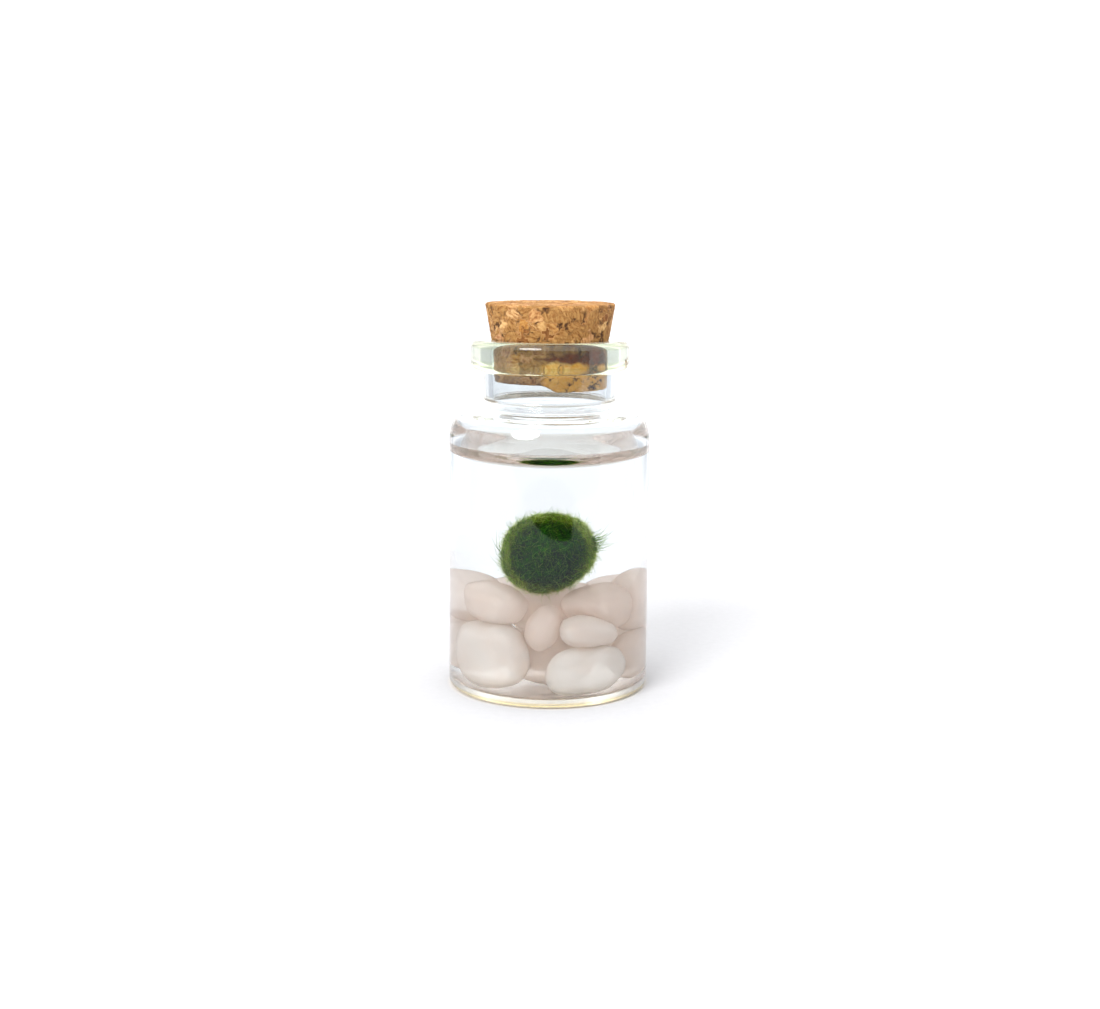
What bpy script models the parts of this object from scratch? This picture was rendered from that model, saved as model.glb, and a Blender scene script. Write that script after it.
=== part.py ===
"""A marimo moss ball on tumbled rose quartz, in a small water-filled glass jar with a cork.

All sizes below are millimetres; each mesh is scaled to metres as its object is made.
+Z is up, and the origin is the centre of the jar's base, on the surface it stands on.
"""

import math

import bmesh
import bpy
from mathutils import Euler, Matrix, Vector, noise

METRES_PER_MM = 0.001
GAP = 0.3                      # kept between pieces that touch in the real object

# Glass jar
JAR_RADIUS = 14.6
JAR_HEIGHT = 50.8
WALL = 1.55
BASE_THICKNESS = 0.9
HEEL_ROUND = 0.8               # outside corner of the base
FLOOR_ROUND = 0.8              # inside corner of the base
SHOULDER_START = 36.2          # where the outside wall begins to turn in
SHOULDER_RISE = 5.4
INNER_SHOULDER_START = 38.0    # the inside turns in later and more tightly, then runs up to the neck
INNER_CORNER_WIDTH = 2.0
INNER_CORNER_RISE = 1.8
NECK_FOOT = 41.0               # the inner edge between the shoulder and the neck
NECK_RADIUS = 9.55
NECK_BORE = 8.3                # radius of the hole in the neck, at its foot
MOUTH_BORE = 8.55              # and just under the lip's rounded edge
LIP_RADIUS = 11.5
LIP_HEIGHT = 4.4
LIP_ROUND = 1.05
MOUTH_ROUND = 0.7
JAR_STEPS = 40                 # facets round the jar, the water and the cork

# Cork stopper
CORK_TOP = 56.0
CORK_TOP_RADIUS = 9.4
CORK_MOUTH_RADIUS = 8.5        # just above the lip, where it swells out of the neck
CORK_FOOT_RADIUS = 8.0
CORK_FOOT = 43.8
CORK_STEP = 0.95               # the left part of the foot has crumbled away by this much
CORK_EDGE = 0.3

# Water
WATER_LEVEL = 32.85
MENISCUS_RISE = 2.9            # how far the water climbs the glass
MENISCUS_WIDTH = 2.2           # the climb falls off to 1/e over this distance

# Moss ball: centre, half sizes of the felted body, then its swells, its dent and its tufts,
# each as (direction, reach, spread)
BALL_CENTRE = Vector((0.08, -6.75, 20.95))
BALL_HALF_SIZES = Vector((5.95, 5.85, 5.85))
BALL_FUZZ = 0.25
BALL_CUTS = 6                  # the ball is a cube cut into 7 by 7 squares a side, blown round
SWELLS = (
    (Vector((-0.75, -0.1, -0.65)), 0.5, 0.5),
    (Vector((0.7, -0.1, 0.7)), 0.35, 0.5),
    (Vector((0.62, -0.1, -0.78)), -0.7, 0.6),
)
TUFTS = (
    (Vector((-1.0, 0.15, 0.25)), 0.9, 0.45),
    (Vector((-0.8, 0.5, 0.65)), 0.7, 0.35),
    (Vector((1.0, 0.1, 0.3)), 1.5, 0.28),
    (Vector((0.2, 0.8, 0.6)), 0.6, 0.6),
)

# Stones: name, centre, half sizes and turn in degrees, each lying where it was pushed into place
STONES = (
    ("stone_front_left", (-7.2, -6.2, 6.1), (5.9, 4.2, 5.3), (4, -12, -38)),
    ("stone_front_right", (4.8, -8.1, 4.3), (5.9, 4.1, 3.7), (-8, -10, 26)),
    ("stone_low_right", (10.1, -0.9, 5.0), (3.3, 4.6, 3.7), (0, 12, -8)),
    ("stone_core_low", (0.0, -0.6, 5.0), (5.1, 4.8, 4.0), (10, 6, 30)),
    ("stone_back_left_low", (-7.8, 4.3, 5.8), (5.2, 4.6, 4.6), (0, -18, 24)),
    ("stone_back_low", (0.3, 7.8, 4.8), (4.3, 4.8, 3.6), (6, -8, 10)),
    ("stone_back_right_low", (8.1, 6.4, 5.6), (4.5, 4.2, 4.5), (-6, 20, 30)),
    ("stone_middle", (5.0, -8.0, 9.9), (4.1, 3.5, 2.5), (-6, 8, 22)),
    ("stone_centre", (-0.6, -7.3, 10.3), (2.3, 3.1, 3.5), (0, 18, -20)),
    ("stone_upper_left", (-6.7, -6.4, 13.6), (4.6, 3.9, 3.1), (-4, 12, -34)),
    ("stone_upper_right", (6.2, -5.2, 12.8), (4.8, 4.2, 3.6), (8, -3, 34)),
    ("stone_right_wall", (9.8, 0.4, 12.6), (3.5, 4.7, 4.8), (6, -2, 8)),
    ("stone_core_high", (0.4, 0.6, 11.8), (5.5, 4.9, 3.8), (8, -6, 50)),
    ("stone_back_left_high", (-8.5, 2.4, 12.6), (4.5, 5.3, 3.9), (-6, 8, -6)),
    ("stone_back_high", (-1.6, 8.1, 11.5), (5.4, 4.3, 3.5), (-10, 14, 12)),
    ("stone_back_right_high", (6.4, 7.6, 12.0), (4.5, 3.9, 3.2), (8, -12, 36)),
)
STONE_CUTS = 2                 # a stone is a cube cut into 3 by 3 squares a side, blown round
POCKET_SLACK = 0.03            # a pocket in the water is this share larger than its stone, and GAP more
STONE_LUMPS = 0.14             # how far a stone's skin swells and dips, of its radius
SETTLE_PASSES = 6
FLATTEN_UNDER = 5              # degrees: the water's skin is flattened where it bends less


def material(name, colour, roughness, metallic=0.0, transmission=0.0, ior=1.5):
    """A plain Principled material."""
    made = bpy.data.materials.new(name)
    made.use_nodes = True
    shader = made.node_tree.nodes["Principled BSDF"]
    shader.inputs["Base Color"].default_value = (*colour, 1.0)
    shader.inputs["Roughness"].default_value = roughness
    shader.inputs["Metallic"].default_value = metallic
    shader.inputs["Transmission Weight"].default_value = transmission
    shader.inputs["IOR"].default_value = ior
    made.diffuse_color = (*colour, 1.0)
    return made


def object_of(name, bm, finish):
    """The bmesh, in millimetres, as a smooth-shaded object in metres."""
    bm.transform(Matrix.Scale(METRES_PER_MM, 4))
    mesh = bpy.data.meshes.new(name)
    bm.to_mesh(mesh)
    bm.free()
    mesh.shade_smooth()
    mesh.set_sharp_from_angle(angle=math.radians(35))
    mesh.materials.append(finish)
    made = bpy.data.objects.new(name, mesh)
    bpy.context.collection.objects.link(made)
    return made


def arc(centre, half_sizes, start, end, steps):
    """Points of an elliptical arc in the (radius, height) plane, angles in degrees."""
    angles = [math.radians(start + (end - start) * i / steps) for i in range(steps + 1)]
    return [(centre[0] + half_sizes[0] * math.cos(a), centre[1] + half_sizes[1] * math.sin(a))
            for a in angles]


def turned(profile):
    """The (radius, height) profile, which starts and ends on the axis, turned into a solid."""
    bm = bmesh.new()
    verts = [bm.verts.new((r, 0.0, z)) for r, z in profile]
    edges = [bm.edges.new(pair) for pair in zip(verts, verts[1:])]
    bmesh.ops.spin(bm, geom=verts + edges, cent=(0, 0, 0), axis=(0, 0, 1),
                   angle=math.tau, steps=JAR_STEPS, use_merge=True)
    bmesh.ops.remove_doubles(bm, verts=bm.verts[:], dist=0.001)
    bmesh.ops.recalc_face_normals(bm, faces=bm.faces[:])
    return bm


def jar_profile():
    bore = JAR_RADIUS - WALL
    neck_top = JAR_HEIGHT - LIP_HEIGHT
    shoulder_width = JAR_RADIUS - NECK_RADIUS - 0.3
    outside = [(0.0, 0.0)]
    outside += arc((JAR_RADIUS - HEEL_ROUND, HEEL_ROUND), (HEEL_ROUND, HEEL_ROUND), -90, 0, 2)
    outside += arc((JAR_RADIUS - shoulder_width, SHOULDER_START),
                   (shoulder_width, SHOULDER_RISE), 0, 78, 5)
    outside += [(NECK_RADIUS, SHOULDER_START + SHOULDER_RISE + 0.7), (NECK_RADIUS, neck_top - 0.5),
                (NECK_RADIUS + 0.4, neck_top)]
    outside += arc((LIP_RADIUS - LIP_ROUND, neck_top + LIP_ROUND), (LIP_ROUND, LIP_ROUND), -90, 0, 2)
    outside += arc((LIP_RADIUS - LIP_ROUND, JAR_HEIGHT - LIP_ROUND), (LIP_ROUND, LIP_ROUND), 0, 90, 2)
    inside = arc((MOUTH_BORE + MOUTH_ROUND, JAR_HEIGHT - MOUTH_ROUND),
                 (MOUTH_ROUND, MOUTH_ROUND), 90, 180, 2)
    inside += [(NECK_BORE, NECK_FOOT)]
    inside += arc((bore - INNER_CORNER_WIDTH, INNER_SHOULDER_START),
                  (INNER_CORNER_WIDTH, INNER_CORNER_RISE), 70, 0, 4)
    inside += arc((bore - FLOOR_ROUND, BASE_THICKNESS + FLOOR_ROUND),
                  (FLOOR_ROUND, FLOOR_ROUND), 0, -90, 2)
    inside += [(0.0, BASE_THICKNESS)]
    return outside + inside


def make_jar():
    """Blown glass: base, wall, shoulder, neck and rolled lip in one turned piece."""
    glass = material("clear_glass", (0.93, 0.97, 0.95), 0.02, transmission=1.0, ior=1.5)
    return object_of("glass_jar", turned(jar_profile()), glass)


def make_cork():
    """A tapered plug: squeezed in the neck, swelling above it, its foot stepped at the left."""
    side = [(CORK_FOOT_RADIUS - CORK_EDGE, CORK_FOOT), (CORK_FOOT_RADIUS, CORK_FOOT + CORK_EDGE),
            (MOUTH_BORE - GAP, JAR_HEIGHT - MOUTH_ROUND), (CORK_MOUTH_RADIUS, JAR_HEIGHT + 0.2),
            (CORK_TOP_RADIUS, CORK_TOP - CORK_EDGE), (CORK_TOP_RADIUS - CORK_EDGE, CORK_TOP)]
    bm = turned([(0.0, CORK_FOOT), (4.0, CORK_FOOT)] + side + [(0.0, CORK_TOP)])
    for v in bm.verts:
        if v.co.z < CORK_FOOT + 2 * CORK_EDGE:
            share = min(max((1.5 - v.co.x) / 3.0, 0.0), 1.0)
            v.co.z += CORK_STEP * share * share * (3 - 2 * share)
    cork = material("pressed_cork", (0.50, 0.29, 0.13), 0.85)
    return object_of("cork_stopper", bm, cork)


def meniscus_height(radius):
    from_glass = JAR_RADIUS - WALL - GAP - radius
    return WATER_LEVEL + MENISCUS_RISE * math.exp(-from_glass / MENISCUS_WIDTH)


def quad_sphere(cuts):
    """A cube cut into squares and blown out to a ball of radius 1."""
    bm = bmesh.new()
    bmesh.ops.create_cube(bm, size=2.0)
    bmesh.ops.subdivide_edges(bm, edges=bm.edges[:], cuts=cuts, use_grid_fill=True)
    for v in bm.verts:
        v.co.normalize()
    return bm


def kept_in_jar(point, gap=GAP):
    """The point, moved off the jar's floor, wall and rounded floor corner if it is too close."""
    bore, floor = JAR_RADIUS - WALL - gap, BASE_THICKNESS + gap
    x, y, z = point
    radius = math.hypot(x, y)
    kept_radius, kept_z = min(radius, bore), max(z, floor)
    corner = Vector((bore - FLOOR_ROUND + gap, floor + FLOOR_ROUND - gap))
    from_corner = Vector((kept_radius, kept_z)) - corner
    if from_corner.x > 0 > from_corner.y and from_corner.length > FLOOR_ROUND - gap:
        kept_radius, kept_z = corner + from_corner.normalized() * (FLOOR_ROUND - gap)
    scale = kept_radius / radius if radius > 0 else 1.0
    return Vector((x * scale, y * scale, kept_z))


def ball_reach(direction):
    """How far the moss reaches from the ball's centre: felted body, fuzz and tufts."""
    body = 1 / math.sqrt(sum((part / half) ** 2
                             for part, half in zip(direction, BALL_HALF_SIZES)))
    reach = body + BALL_FUZZ * (1 + noise.noise(direction * 3.1)) * 0.5
    for toward, length, spread in SWELLS + TUFTS:
        angle = direction.angle(toward)
        reach += length * math.exp(-(angle / spread) ** 2)
    return reach


def ball_points():
    """Where the moss ball's skin lies, seen from its centre."""
    bm = ball_bmesh()
    points = [v.co - BALL_CENTRE for v in bm.verts]
    bm.free()
    return points


def ball_bmesh(margin=0.0):
    bm = quad_sphere(BALL_CUTS)
    for v in bm.verts:
        direction = v.co.normalized()
        v.co = BALL_CENTRE + direction * (ball_reach(direction) + margin)
        if not margin:
            v.co = kept_in_jar(v.co)
    return bm


BALL_POINTS = ball_points()


def turn_of(stone):
    return Euler([math.radians(a) for a in stone[3]]).to_matrix()


def half_extent(stone, direction):
    """How far the stone's ellipsoid reaches from its centre along a direction."""
    local = turn_of(stone).transposed() @ direction
    return math.sqrt(sum((half * part) ** 2 for half, part in zip(stone[2], local)))


def walls_of(stone):
    """Planes (point, outward normal) that part a stone from its neighbours and from the ball."""
    centre = Vector(stone[1])
    walls = []
    for other in STONES:
        if other is stone:
            continue
        apart = Vector(other[1]) - centre
        normal = apart.normalized()
        mine, theirs = half_extent(stone, normal), half_extent(other, normal)
        reach = apart.length * mine / (mine + theirs) - GAP / 2
        walls.append((centre + normal * reach, normal))
    toward_ball = (BALL_CENTRE - centre).normalized()
    ball_side = min(point.dot(toward_ball) for point in BALL_POINTS) - GAP
    walls.append((BALL_CENTRE + toward_ball * ball_side, toward_ball))
    return walls


def settled(point, walls):
    """The point, moved back behind every plane that it lies beyond, and inside the jar."""
    for _ in range(SETTLE_PASSES):
        for base, normal in walls:
            beyond = (point - base).dot(normal)
            if beyond > 0:
                point = point - normal * beyond
        point = kept_in_jar(point)
    return point


def stone_bmesh(index):
    """A tumbled stone: an uneven ellipsoid, flattened where it lies against its neighbours."""
    stone = STONES[index]
    centre, turn, walls = Vector(stone[1]), turn_of(stone), walls_of(stone)
    bm = quad_sphere(STONE_CUTS)
    for v in bm.verts:
        swell = 1 + STONE_LUMPS * noise.noise(v.co * 1.4 + Vector((index * 5.7, 2.3, index)))
        round_point = Vector(half * part for half, part in zip(stone[2], v.co)) * swell
        v.co = settled(centre + turn @ round_point, walls)
    return bm


def make_ball():
    """The moss ball, with the outer form of its fuzz and of the tufts at its sides."""
    moss = material("green_moss", (0.045, 0.11, 0.018), 0.9)
    return object_of("moss_ball", ball_bmesh(), moss)


def make_stones():
    quartz = material("rose_quartz", (0.80, 0.62, 0.56), 0.25, transmission=0.3, ior=1.54)
    return [object_of(stone[0], stone_bmesh(i), quartz)
            for i, stone in enumerate(STONES)]


def make_pockets(finish):
    """Cutters a little larger than the stones and the ball, in their own collection."""
    pockets = bpy.data.collections.new("water_pockets")
    bpy.context.scene.collection.children.link(pockets)
    shapes = []
    for i, stone in enumerate(STONES):
        bm = stone_bmesh(i)
        centre = Vector(stone[1])
        for v in bm.verts:
            outward = v.co - centre
            v.co += outward * POCKET_SLACK + outward.normalized() * GAP
        shapes.append(("pocket_" + stone[0], bm))
    shapes.append(("pocket_moss_ball", ball_bmesh(margin=GAP)))
    for name, bm in shapes:
        pocket = object_of(name, bm, finish)
        bpy.context.collection.objects.unlink(pocket)
        pockets.objects.link(pocket)
        pocket.hide_render = True
        pocket.display_type = "WIRE"
    return pockets


def largest_body(bm):
    """Drops the drops of water that are shut off between stones, and keeps the main body."""
    unseen, bodies = set(bm.verts), []
    while unseen:
        body, edge_of_search = set(), [unseen.pop()]
        while edge_of_search:
            v = edge_of_search.pop()
            body.add(v)
            near = [e.other_vert(v) for e in v.link_edges]
            edge_of_search += [n for n in near if n in unseen]
            unseen.difference_update(near)
        bodies.append(body)
    bodies.sort(key=len)
    spare = [v for body in bodies[:-1] for v in body]
    bmesh.ops.delete(bm, geom=spare, context="VERTS")


def make_water():
    """The water round the ball and the stones, level in the middle and climbing the glass."""
    clear = material("clear_water", (0.95, 0.98, 0.99), 0.0, transmission=1.0, ior=1.33)
    bore = JAR_RADIUS - WALL - GAP
    corner = FLOOR_ROUND - GAP
    floor = BASE_THICKNESS + GAP
    profile = [(0.0, floor)]
    profile += arc((bore - corner, floor + corner), (corner, corner), -90, 0, 2)
    profile += [(r, meniscus_height(r)) for r in (bore, 12.0, 10.8, 8.6)]
    profile += [(0.0, WATER_LEVEL)]
    water = object_of("water", turned(profile), clear)
    cut = water.modifiers.new("pockets", "BOOLEAN")
    cut.operation = "DIFFERENCE"
    cut.operand_type = "COLLECTION"
    cut.collection = make_pockets(clear)
    cut.solver = "EXACT"
    evaluated = water.evaluated_get(bpy.context.evaluated_depsgraph_get())
    bm = bmesh.new()
    bm.from_mesh(evaluated.to_mesh())
    water.modifiers.clear()
    largest_body(bm)
    bmesh.ops.dissolve_limit(bm, angle_limit=math.radians(FLATTEN_UNDER), verts=bm.verts[:],
                             edges=bm.edges[:], use_dissolve_boundaries=False)
    bmesh.ops.triangulate(bm, faces=bm.faces[:])
    bm.to_mesh(water.data)
    bm.free()
    return water


def main():
    for old in list(bpy.data.objects):
        bpy.data.objects.remove(old)
    make_jar()
    make_cork()
    make_ball()
    make_stones()
    make_water()


main()
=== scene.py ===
# %% [markdown]
# # A marimo moss ball in a corked glass jar
#
# This notebook dresses a small jar that is 29 mm wide and 56 mm tall with its cork. Inside are water,
# sixteen tumbled rose quartz stones, and a ball of moss that lies on the stones and against the front
# of the glass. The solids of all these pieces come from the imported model, which is the fixed frame.
# Each step below gives one piece its real surface: first what it is, then how it could be made, and
# why it is made in this way.

# %% Load the frame
import math

import bmesh
import bpy
import numpy as np
from mathutils import Matrix, Vector, noise


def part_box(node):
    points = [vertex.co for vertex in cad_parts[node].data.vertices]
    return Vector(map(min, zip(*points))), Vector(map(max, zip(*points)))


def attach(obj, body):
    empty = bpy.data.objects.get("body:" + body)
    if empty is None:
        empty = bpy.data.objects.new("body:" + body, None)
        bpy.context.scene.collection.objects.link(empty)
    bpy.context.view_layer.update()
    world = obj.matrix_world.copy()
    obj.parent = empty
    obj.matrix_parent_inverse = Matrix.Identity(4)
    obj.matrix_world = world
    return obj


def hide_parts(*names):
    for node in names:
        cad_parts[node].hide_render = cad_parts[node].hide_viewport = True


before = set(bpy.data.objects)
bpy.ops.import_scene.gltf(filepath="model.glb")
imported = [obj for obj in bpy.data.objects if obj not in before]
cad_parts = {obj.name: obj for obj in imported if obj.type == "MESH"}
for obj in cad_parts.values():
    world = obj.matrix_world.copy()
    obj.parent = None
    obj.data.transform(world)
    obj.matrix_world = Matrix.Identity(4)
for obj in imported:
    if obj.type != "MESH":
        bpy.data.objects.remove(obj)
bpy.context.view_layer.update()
scene = bpy.context.scene
print("nodes in the frame:", len(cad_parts))

# %% [markdown]
# ## Units, colours and nodes
#
# The frame is in metres. The pieces are small, so lengths are written in millimetres and turned into
# metres by one factor. Colours are written as the sRGB hex values that a colour picker shows, and one
# function turns them to the linear values that Blender's sockets hold. Materials are node trees, and
# one function adds a node, sets it and links it, so that a material reads as a list of its nodes. A
# noise pattern's scale counts spots in a metre, and one function works it out from a spot's real size.

# %% Helpers for units, colours and nodes
MM = 0.001


def linear(hex_colour, alpha=1.0):
    """An sRGB hex colour as linear RGBA."""
    parts = [int(hex_colour[i:i + 2], 16) / 255 for i in (1, 3, 5)]
    return [p / 12.92 if p <= 0.04045 else ((p + 0.055) / 1.055) ** 2.4 for p in parts] + [alpha]


def scale_of(spot_size):
    """The scale at which a noise pattern's spots are this many millimetres wide."""
    return 1 / (spot_size * MM)


def add(tree, kind, inputs=(), stops=(), **settings):
    """Adds a node: inputs are (socket, value or output socket) pairs, stops are a colour ramp's."""
    made = tree.nodes.new(kind)
    for key, value in settings.items():
        setattr(made, key, value)
    for key, value in inputs:
        if isinstance(value, bpy.types.NodeSocket):
            tree.links.new(value, made.inputs[key])
        else:
            made.inputs[key].default_value = value
    for i, (place, colour) in enumerate(stops):
        ramp = made.color_ramp.elements
        stop = ramp[i] if i < 2 else ramp.new(place)
        stop.position, stop.color = place, colour
    return made


def new_material(name):
    """An empty material: its tree and the output that its shader goes to."""
    material = bpy.data.materials.new(name)
    material.use_nodes = True
    material.node_tree.nodes.clear()
    output = add(material.node_tree, "ShaderNodeOutputMaterial")
    print("material:", name)
    return material, material.node_tree, output


def object_from(bm, name, materials, crease=180.0):
    """A bmesh in millimetres as an object in metres, at the origin, sharp where it bends by crease."""
    for edge in bm.edges:
        edge.smooth = not edge.is_manifold or edge.calc_face_angle() < math.radians(crease)
    bm.transform(Matrix.Scale(MM, 4))
    mesh = bpy.data.meshes.new(name)
    bm.to_mesh(mesh)
    bm.free()
    mesh.polygons.foreach_set("use_smooth", [True] * len(mesh.polygons))
    for material in materials:
        mesh.materials.append(material)
    made = bpy.data.objects.new(name, mesh)
    scene.collection.objects.link(made)
    print("piece:", name, "faces:", len(mesh.polygons))
    return made


# %% [markdown]
# ## The camera
#
# The photograph was taken from close by with a normal lens, a little above the jar. The eye height can
# be read from the ellipses: the cork's rim is almost edge on, while the base is seen from about 20
# degrees above. That puts the lens 67 mm above the table and 225 mm in front of the jar. The camera
# could look level with a large shift, or simply tilt down. A tilt of 7 degrees with a small shift
# keeps the jar's sides nearly parallel, as they are in the photograph. The jar leans by less than half
# a degree in the frame, because the camera was held by hand, so the camera is rolled by as much.

# %% Camera
CAMERA_PLACE = Vector((0.07, -225.3, 66.8)) * MM
CAMERA_TILT = 7.0              # degrees below level
CAMERA_ROLL = 0.42             # degrees
LENS = 50.93                   # mm, on a 36 mm sensor
SHIFT_UP = -0.078

camera_data = bpy.data.cameras.new("camera")
camera_data.lens = LENS
camera_data.sensor_width = 36.0
camera_data.shift_y = SHIFT_UP
camera_data.clip_start = 0.005
camera = bpy.data.objects.new("camera", camera_data)
camera.location = CAMERA_PLACE
roll = Matrix.Rotation(math.radians(CAMERA_ROLL), 4, "Z")
tilt = Matrix.Rotation(math.radians(90.0 - CAMERA_TILT), 4, "X")
camera.rotation_euler = (tilt @ roll).to_euler()
scene.collection.objects.link(camera)
scene.camera = camera
print("camera at", [round(c / MM, 1) for c in camera.location], "mm")

# %% [markdown]
# ## The paper
#
# The jar stands on white paper in a bright room, so almost everything round it is white, and the glass
# shows only by its edges. White paper under a white sky would be brighter than a picture can show, and
# the glass would be lost in it. So the paper is drawn mid-grey under a bright room: it still comes out
# white, and the glass keeps its tones. The stones gather light and throw it on the paper under them,
# and the paper behind the jar lacks that light. To trace it would take very many samples, so one warm
# spot and one dim spot are drawn on the paper instead.

# %% A soft spot
ENDLESS = 1e6                  # a spot's reach along an axis that it doesn't fade along


def spot(tree, place, reach, edge):
    """1 in the middle of an ellipsoid of this place and reach in mm, and 0 outside it, with a soft edge."""
    where = add(tree, "ShaderNodeTexCoord")
    moved = add(tree, "ShaderNodeMapping",
                [("Vector", where.outputs["Object"]), ("Scale", [1 / r / MM for r in reach]),
                 ("Location", [-p / r for p, r in zip(place, reach)])])
    nearness = add(tree, "ShaderNodeTexGradient", [("Vector", moved.outputs["Vector"])],
                   gradient_type="SPHERICAL")
    return add(tree, "ShaderNodeMapRange", [("Value", nearness.outputs["Fac"]), ("From Max", edge)])


# %% White paper, matt
PAPER_GRAIN = 1.11             # mm, coarser than real fibres, which wouldn't show
GLOW_RADIUS = 15.0             # under the jar
DUSK_BEHIND, DUSK_ACROSS, DUSK_ALONG = 31.0, 17.0, 19.0  # behind it: its middle and its half sizes

floor_material, tree, output = new_material("white_paper_matt")  # no shine, only soft shade
coordinates = add(tree, "ShaderNodeTexCoord")
grain = add(tree, "ShaderNodeTexNoise",
            [("Vector", coordinates.outputs["Object"]), ("Scale", scale_of(PAPER_GRAIN))])
tint = add(tree, "ShaderNodeValToRGB", [("Fac", grain.outputs["Fac"])],
           stops=[(0.3, linear("#B6B6B8")), (0.7, linear("#B9B9BB"))])
dusk = spot(tree, (0.0, DUSK_BEHIND, 0.0), (DUSK_ACROSS, DUSK_ALONG, ENDLESS), 0.4)
glow = spot(tree, (0.0, 0.0, 0.0), (GLOW_RADIUS, GLOW_RADIUS, ENDLESS), 0.25)
shaded = add(tree, "ShaderNodeMix",
             [(0, dusk.outputs["Result"]), (6, tint.outputs["Color"]), (7, linear("#A6A29C"))],
             data_type="RGBA")
warmed = add(tree, "ShaderNodeMix",
             [(0, glow.outputs["Result"]), (6, shaded.outputs[2]), (7, linear("#FFF0DA"))],
             data_type="RGBA")
paper = add(tree, "ShaderNodeBsdfPrincipled",
            [("Base Color", warmed.outputs[2]), ("Roughness", 0.9), ("Specular IOR Level", 0.2)])
tree.links.new(paper.outputs["BSDF"], output.inputs["Surface"])

# %% Floor
FLOOR_SIZE = 6000.0
FLOOR_BELOW = 0.04             # the jar stands on a thin film of air

bm = bmesh.new()
bmesh.ops.create_grid(bm, x_segments=4, y_segments=4, size=FLOOR_SIZE / 2)
bmesh.ops.translate(bm, verts=bm.verts[:], vec=(0, 0, -FLOOR_BELOW))
floor = object_from(bm, "floor", [floor_material])

# %% [markdown]
# ## Room and lamp
#
# The room is white, a touch dimmer behind the camera than behind the jar. One large soft lamp over the
# camera's left shoulder gives the faint shadow at the right, as a big window would. The colours are
# shown as they are, without a film curve, so that white paper stays white. Light runs round inside the
# glass many times, as in a fibre, and a low limit of bounces would leave black rings in the base.

# %% Room
ROOM_STRENGTH = 1.9

world = bpy.data.worlds.new("bright_room")
scene.world = world
world.use_nodes = True
tree = world.node_tree
tree.nodes.clear()
direction = add(tree, "ShaderNodeTexCoord")
axes = add(tree, "ShaderNodeSeparateXYZ", [("Vector", direction.outputs["Generated"])])
from_behind = add(tree, "ShaderNodeMapRange",
                  [("Value", axes.outputs["Y"]), ("From Min", -1.0), ("From Max", 1.0)])
room = add(tree, "ShaderNodeValToRGB", [("Fac", from_behind.outputs["Result"])],
           stops=[(0.05, linear("#F2F3F5")), (0.62, linear("#FFFFFF"))])
sky = add(tree, "ShaderNodeBackground", [("Color", room.outputs["Color"]), ("Strength", ROOM_STRENGTH)])
add(tree, "ShaderNodeOutputWorld", [("Surface", sky.outputs["Background"])])

# %% Lamp, bounces and colours
SUN_WAY = (0.50, 0.80, -0.74)
SUN_SOFTNESS = 30.0            # degrees across
SUN_POWER = 3.0

sun_data = bpy.data.lights.new("soft_window", "SUN")
sun_data.angle = math.radians(SUN_SOFTNESS)
sun_data.energy = SUN_POWER
sun = bpy.data.objects.new("soft_window", sun_data)
sun.rotation_euler = Vector(SUN_WAY).to_track_quat("-Z", "Y").to_euler()
scene.collection.objects.link(sun)

scene.view_settings.view_transform = "Standard"
scene.cycles.max_bounces = 96
scene.cycles.transmission_bounces = scene.cycles.glossy_bounces = 64
print("light from", SUN_WAY, "softness", SUN_SOFTNESS)

# %% [markdown]
# ## Cards for the glass
#
# Clear glass shows what it mirrors. In front of the jar the paper lies in the shade and ends 120 mm
# away, and beyond it the room is dark. The front of the glass mirrors both: a grey veil over most of
# the ball, and a wedge without a veil at its top, where the ball keeps its full colour. A flat grey
# card and a black one stand for this. Two pale upright cards at the sides draw the edges of the glass,
# and they fade to white toward their own edges, so that no hard line shows in the water from any side.
# The camera doesn't see the cards and they cast no shadow, so they act only in the glass, as a
# photographer's flags do.

# %% Card materials
SIDE_AWAY, SIDE_BEHIND, SIDE_HIGH = 70.0, 40.0, 32.0  # the middle of each pale card
SIDE_ALONG, SIDE_UP = 90.0, 30.0                      # half its length and half its height


def card_material(name, colour, edge_colour=None):
    """Matt card of one colour. With a second colour it is a side card, which fades to that one."""
    material, tree, output = new_material(name)
    board = add(tree, "ShaderNodeBsdfPrincipled",
                [("Base Color", linear(colour)), ("Roughness", 0.9), ("Specular IOR Level", 0.1)])
    if edge_colour:
        inside = spot(tree, (0.0, SIDE_BEHIND, SIDE_HIGH), (ENDLESS, SIDE_ALONG, SIDE_UP), 0.4)
        faded = add(tree, "ShaderNodeMix",
                    [(0, inside.outputs["Result"]), (6, linear(edge_colour)), (7, linear(colour))],
                    data_type="RGBA")
        tree.links.new(faded.outputs[2], board.inputs["Base Color"])
    tree.links.new(board.outputs["BSDF"], output.inputs["Surface"])
    return material


grey_card = card_material("grey_card_matt", "#90929A")
black_card = card_material("black_card_matt", "#141416")
pale_card = card_material("pale_card_matt", "#B4B8BC", "#F4F4F4")

# %% Flat cards in front
GREY_NEAR, GREY_HALF_WIDTH, GREY_HALF_DEPTH = -58.0, 150.0, 80.0  # where the shaded paper begins
GREY_HIGH = 0.6
DARK_SHAPES = (                # the room beyond the paper: ahead, to the right and to the left
    ((-48, -144, 1), (53, -117.5, 1), (72, -140, 4), (520, -420, 150), (-200, -470, 150)),
    ((72, -140, 4), (190, -75, 4), (650, -200, 150), (520, -420, 150)),
    ((-48, -144, 1), (-200, -470, 150), (-650, -200, 150), (-150, -150, 8)),
)

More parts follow.
